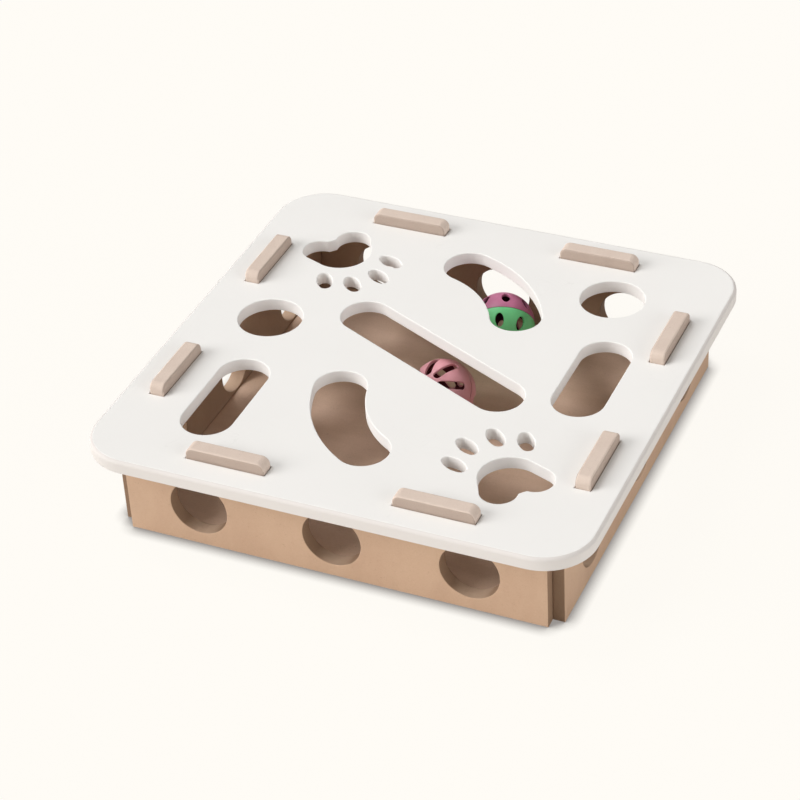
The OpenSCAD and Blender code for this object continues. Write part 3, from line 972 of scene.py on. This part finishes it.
@dataclass
class RattleBall:
    """One hollow ball of two perforated half shells, with its bell."""

    perforation: Perforation
    middle: Vector
    lean: float
    heading: float
    turns: dict[Half, float]
    opening_length: float
    opening_width: float
    opening_angle: float
    finishes: dict[Half, tuple[PlasticFinish, PlasticFinish]]
    slots: dict[Half, str]
    openings: int = 8
    radius: float = 19.25 * MM
    wall: float = 1.8 * MM
    lap: float = 1.6 * MM
    seam_gap: float = 0.1 * MM
    arris: float = 0.25 * MM
    bell_arris: float = 0.1 * MM
    edge_rings: int = 2
    segments: int = 96
    rings: int = 48
    window_points: int = 32
    slit_corner_points: int = 8
    slit_corner_share: float = 0.49

    def tree(self, name: str, half: Half) -> bpy.types.NodeTree:
        """Builds the tree of one half shell about the origin, its pole along Z.

        Args:
            name: the tree's name.
            half: which half.

        Returns:
            The geometry tree.
        """
        sizes = ("Radius", "Wall", "Lap", "Seam Gap", "Opening Length", "Opening Width", "Opening Angle", "Turn")
        inputs = dict.fromkeys(sizes, NUMBER) | {"Openings": COUNT}
        sheet = GeometrySheet(name, inputs | dict.fromkeys(("Shell Material", "Inside Painted Shade Material"), MATERIAL))
        math_of, times, vector = sheet.math, sheet.times, sheet.vector
        radius, wall, lap, gap = (sheet.given[size] for size in ("Radius", "Wall", "Lap", "Seam Gap"))
        inner_r = math_of("SUBTRACT", radius, wall)
        seam_r = sheet.scaled(wall, -0.5, radius)
        half_gap = times(gap, 0.5)
        outer, inner = self.globe(sheet, radius), self.globe(sheet, inner_r)
        side = times(radius, 4.0)
        cube, half_side = vector(side, side, side), times(side, 0.5)
        cutters = self.cutters(sheet, inner_r, half)
        if half is Half.UPPER:
            deep = times(half_side, -1.0)
            dome = sheet.combine("DIFFERENCE", outer, sheet.block(cube, vector(z=deep)))
            lip_ball = self.globe(sheet, math_of("SUBTRACT", seam_r, half_gap))
            below = vector(z=math_of("SUBTRACT", deep, lap))
            lip = sheet.combine("DIFFERENCE", lip_ball, sheet.block(cube, below))
            solid = sheet.combine("UNION", None, dome, lip)
            shell = sheet.combine("DIFFERENCE", solid, inner, cutters)
        else:
            bowl = sheet.combine("DIFFERENCE", outer, sheet.block(cube, vector(z=half_side)))
            notch_ball = self.globe(sheet, math_of("ADD", seam_r, half_gap))
            notch_z = math_of("SUBTRACT", math_of("SUBTRACT", half_side, lap), gap)
            notch = sheet.combine("INTERSECT", None, notch_ball, sheet.block(cube, vector(z=notch_z)))
            shell = sheet.combine("DIFFERENCE", bowl, inner, notch, cutters)
        # Painted shade on the faces turned towards the ball's middle.
        normal, spot = (sheet.add(f"GeometryNodeInput{kind}").outputs[0] for kind in ("Normal", "Position"))
        facing = sheet.add("ShaderNodeVectorMath", {0: normal, 1: spot}, operation="DOT_PRODUCT")
        inward = math_of("LESS_THAN", facing.outputs["Value"], times(radius, -0.5))
        return sheet.leave(shell, (sheet.given["Shell Material"], True), (sheet.given["Inside Painted Shade Material"], inward))

    def globe(self, sheet: GeometrySheet, radius: Socket) -> Socket:
        """Adds a sphere of the given radius about the origin."""
        feeds = {"Segments": self.segments, "Rings": self.rings, "Radius": radius}
        return sheet.add("GeometryNodeMeshUVSphere", feeds).outputs[0]

    def cutters(self, sheet: GeometrySheet, inner_r: Socket, half: Half) -> Socket:
        """Sets the openings' cutters round the pole.

        Args:
            sheet: the tree's sheet.
            inner_r: the shell's inner radius.
            half: which half they cut.

        Returns:
            The cutters, realized.
        """
        given, math_of, times = sheet.given, sheet.math, sheet.times
        length, width, count = given["Opening Length"], given["Opening Width"], given["Openings"]
        if self.perforation is Perforation.WINDOW:
            feeds = {"Resolution": self.window_points, "Radius": 0.5}
            ring = sheet.add("GeometryNodeCurvePrimitiveCircle", feeds).outputs[0]
            feeds = {"Geometry": ring, "Scale": sheet.vector(length, width, 1.0)}
            outline = sheet.add("GeometryNodeTransform", feeds).outputs[0]
        else:
            corner = times(width, self.slit_corner_share)
            outline = sheet.round_box(length, width, corner, self.slit_corner_points)
        inside_shell, outside_shell = times(inner_r, 0.6), times(given["Radius"], 1.3)
        cutter = sheet.prism(outline, inside_shell, outside_shell)
        points = sheet.add("GeometryNodeMeshLine", {"Count": count, "Offset": (0.0, 0.0, 0.0)})
        index = sheet.add("GeometryNodeInputIndex").outputs[0]
        share = math_of("DIVIDE", times(index, 4.0 * QUARTER_TURN), count)
        round_pole = math_of("ADD", share, given["Turn"])
        polar = given["Opening Angle"]
        if half is Half.LOWER:
            polar = math_of("SUBTRACT", math.pi, polar)
        spin = sheet.add("FunctionNodeEulerToRotation", {0: sheet.vector(0.0, polar, round_pole)}).outputs[0]
        feeds = {"Points": points.outputs[0], "Instance": cutter, "Rotation": spin}
        return sheet.realized(sheet.add("GeometryNodeInstanceOnPoints", feeds).outputs[0])

    def build(self) -> None:
        """Grows both halves, lays them as the ball lies, and softens and dresses the bell."""
        kind = self.perforation.value
        ball = f"{kind}_ball"
        lie = Matrix.Translation(self.middle) @ Euler((0.0, self.lean, self.heading)).to_matrix().to_4x4()
        for half in Half:
            finish, shaded_inside = self.finishes[half]
            shell = f"{ball}_{half.value}_shell"
            materials = {"Shell Material": finish.material(), "Inside Painted Shade Material": shaded_inside.material()}
            mesh = Workshop.grow(self.tree(shell, half), self, materials | {"Turn": self.turns[half]})
            piece = Workshop.bake(f"{ball}_{half.value}_half", mesh, self.arris, self.edge_rings)
            piece.data.transform(lie)
            Workshop.place(piece, ball, self.slots[half], shell)
        for part, body in (("bell_crown", "bell"), ("bell_cup", "bell"), ("bell_pellet", "pellet")):
            node = f"{ball}_{part}"
            mesh = Workshop.copy_of(node, NICKEL)
            piece = Workshop.bake(f"{node}_metal", mesh, self.bell_arris, self.edge_rings)
            Workshop.place(piece, f"{kind}_{body}", "bell_metal", node)


@dataclass(frozen=True)
class Lamp:
    """A far, broad lamp."""

    name: str
    comes_from: Triple
    strength: float
    spread: float

    def build(self) -> None:
        """Adds the lamp to the scene."""
        light = bpy.data.lights.new(self.name, "SUN")
        light.energy = self.strength
        light.angle = math.radians(self.spread)
        turn = Vector(self.comes_from).to_track_quat("Z", "Y")
        stand(self.name, light).rotation_euler = turn.to_euler()


@dataclass
class Studio:
    """Camera, floor and soft light as the photograph has them."""

    camera_place: Triple = (0.490405, -1.076257, 0.885402)
    camera_right: Triple = (0.91768736, 0.394512, -0.04701261)
    camera_up: Triple = (-0.19679575, 0.55415673, 0.80881503)
    lens: float = 112.17
    sensor: float = 36.0
    sight: float = 20.0
    floor_half: float = 4.0
    floor_drop: float = 0.1 * MM
    floor_colour: Triple = (0.93, 0.915, 0.87)
    glow_colour: Triple = (1.0, 0.972, 0.92)
    glow_share: float = 0.97
    shade_colour: Triple = (0.20, 0.18, 0.17)
    shade_reach: float = 9.0 * MM
    shade_depth: float = 0.85
    shade_range: Pair = (0.5, 1.0)
    shade_samples: int = 16
    sky_colour: Triple = (1.0, 0.995, 0.985)
    sky_strength: float = 0.28
    lamps: tuple[Lamp, ...] = (Lamp("soft_key", (-0.50, 0.09, 0.86), 1.33, 26.0),
                               Lamp("low_left_fill", (-0.76, -0.50, 0.44), 2.3, 36.0),
                               Lamp("right_fill", (0.93, -0.25, 0.15), 1.5, 50.0))

    def set_camera(self) -> None:
        """Sets the camera at the photograph's angle."""
        lens = bpy.data.cameras.new("photo_camera")
        lens.lens, lens.sensor_width, lens.clip_end = self.lens, self.sensor, self.sight
        camera = stand("photo_camera", lens)
        right, up = Vector(self.camera_right), Vector(self.camera_up)
        turn = Matrix((right, up, right.cross(up))).transposed().to_4x4()
        camera.matrix_world = Matrix.Translation(self.camera_place) @ turn
        bpy.context.scene.camera = camera

    def paper(self) -> bpy.types.Material:
        """Makes the floor's paper: it looks evenly pale, apart from the shade at the object's foot.

        Returns:
            The material.
        """
        paper = bpy.data.materials.new("warm_white_paper")
        paper.use_nodes = True
        paper.node_tree.nodes.clear()
        sheet = NodeSheet(paper.node_tree)
        matt = sheet.add("ShaderNodeBsdfDiffuse", {"Color": (*self.floor_colour, 1.0)})
        # Painted shade: ambient occlusion darkens the floor's glow near the object's foot; only the small diffuse
        # share carries the real shadow.
        near = sheet.add("ShaderNodeAmbientOcclusion", {"Distance": self.shade_reach}, samples=self.shade_samples)
        shade = sheet.spread(near.outputs["AO"], *self.shade_range, to_low=1.0 - self.shade_depth)
        tint = sheet.mix(shade, self.shade_colour, self.glow_colour)
        glow = sheet.add("ShaderNodeEmission", {"Color": tint, "Strength": 1.0})
        rays = sheet.add("ShaderNodeLightPath").outputs
        seen = rays["Is Camera Ray"]
        for kind in ("Is Glossy Ray", "Is Transmission Ray"):
            seen = sheet.math("MAXIMUM", seen, rays[kind])
        feeds = {0: sheet.times(seen, self.glow_share), 1: matt.outputs[0], 2: glow.outputs[0]}
        blend = sheet.add("ShaderNodeMixShader", feeds)
        sheet.add("ShaderNodeOutputMaterial", {"Surface": blend.outputs[0]})
        return paper

    def lay_floor(self) -> None:
        """Lays the paper floor just under the object."""
        floor = bpy.data.meshes.new("studio_floor")
        reach = self.floor_half
        corners = ((-reach, -reach), (reach, -reach), (reach, reach), (-reach, reach))
        floor.from_pydata([(x, y, -self.floor_drop) for x, y in corners], [], [(0, 1, 2, 3)])
        floor.materials.append(self.paper())
        stand("studio_floor", floor)

    def hang_sky(self) -> None:
        """Sets the soft light from all round."""
        world = bpy.data.worlds.new("soft_sky")
        world.use_nodes = True
        sky = world.node_tree.nodes["Background"]
        sky.inputs["Color"].default_value = (*self.sky_colour, 1.0)
        sky.inputs["Strength"].default_value = self.sky_strength
        bpy.context.scene.world = world

    def build(self) -> None:
        """Sets the camera, the floor, the sky and the lamps."""
        bpy.context.scene.view_settings.view_transform = "Standard"
        self.set_camera()
        self.lay_floor()
        self.hang_sky()
        for lamp in self.lamps:
            lamp.build()


def rattle_balls() -> tuple[RattleBall, RattleBall]:
    """Gives the two balls as they lie in the box.

    Returns:
        The ball with windows and the ball with slits.
    """
    windowed = RattleBall(
        Perforation.WINDOW, middle=Vector((13.0, 92.0, 26.55)) * MM,
        lean=math.radians(66.6), heading=math.radians(108.6),
        turns={Half.UPPER: math.radians(6.7), Half.LOWER: math.radians(40.3)},
        opening_length=8.6 * MM, opening_width=5.2 * MM, opening_angle=math.radians(65.0),
        finishes={Half.UPPER: (MAUVE, MAUVE_INSIDE_PAINTED_SHADE), Half.LOWER: (GREEN, GREEN_INSIDE_PAINTED_SHADE)},
        slots={Half.UPPER: "mauve_plastic", Half.LOWER: "green_plastic"})
    slitted = RattleBall(
        Perforation.SLIT, middle=Vector((5.4, 14.4, 26.55)) * MM,
        lean=math.radians(50.1), heading=math.radians(-108.1),
        turns={Half.UPPER: math.radians(27.3), Half.LOWER: math.radians(10.0)},
        opening_length=16.88 * MM, opening_width=4.5 * MM, opening_angle=math.radians(47.0),
        finishes=dict.fromkeys(Half, (PINK, PINK_INSIDE_PAINTED_SHADE)), slots=dict.fromkeys(Half, "pink_plastic"))
    return windowed, slitted


def main() -> None:
    """Builds the studio and every piece."""
    logging.basicConfig(level=logging.INFO, format="%(name)s: %(message)s")
    for assembly in (Studio(), LidBoard(), WallBoards(), FloorBoard(), *rattle_balls()):
        assembly.build()
    LOG.info("sizes written")


if __name__ == "__main__":
    main()
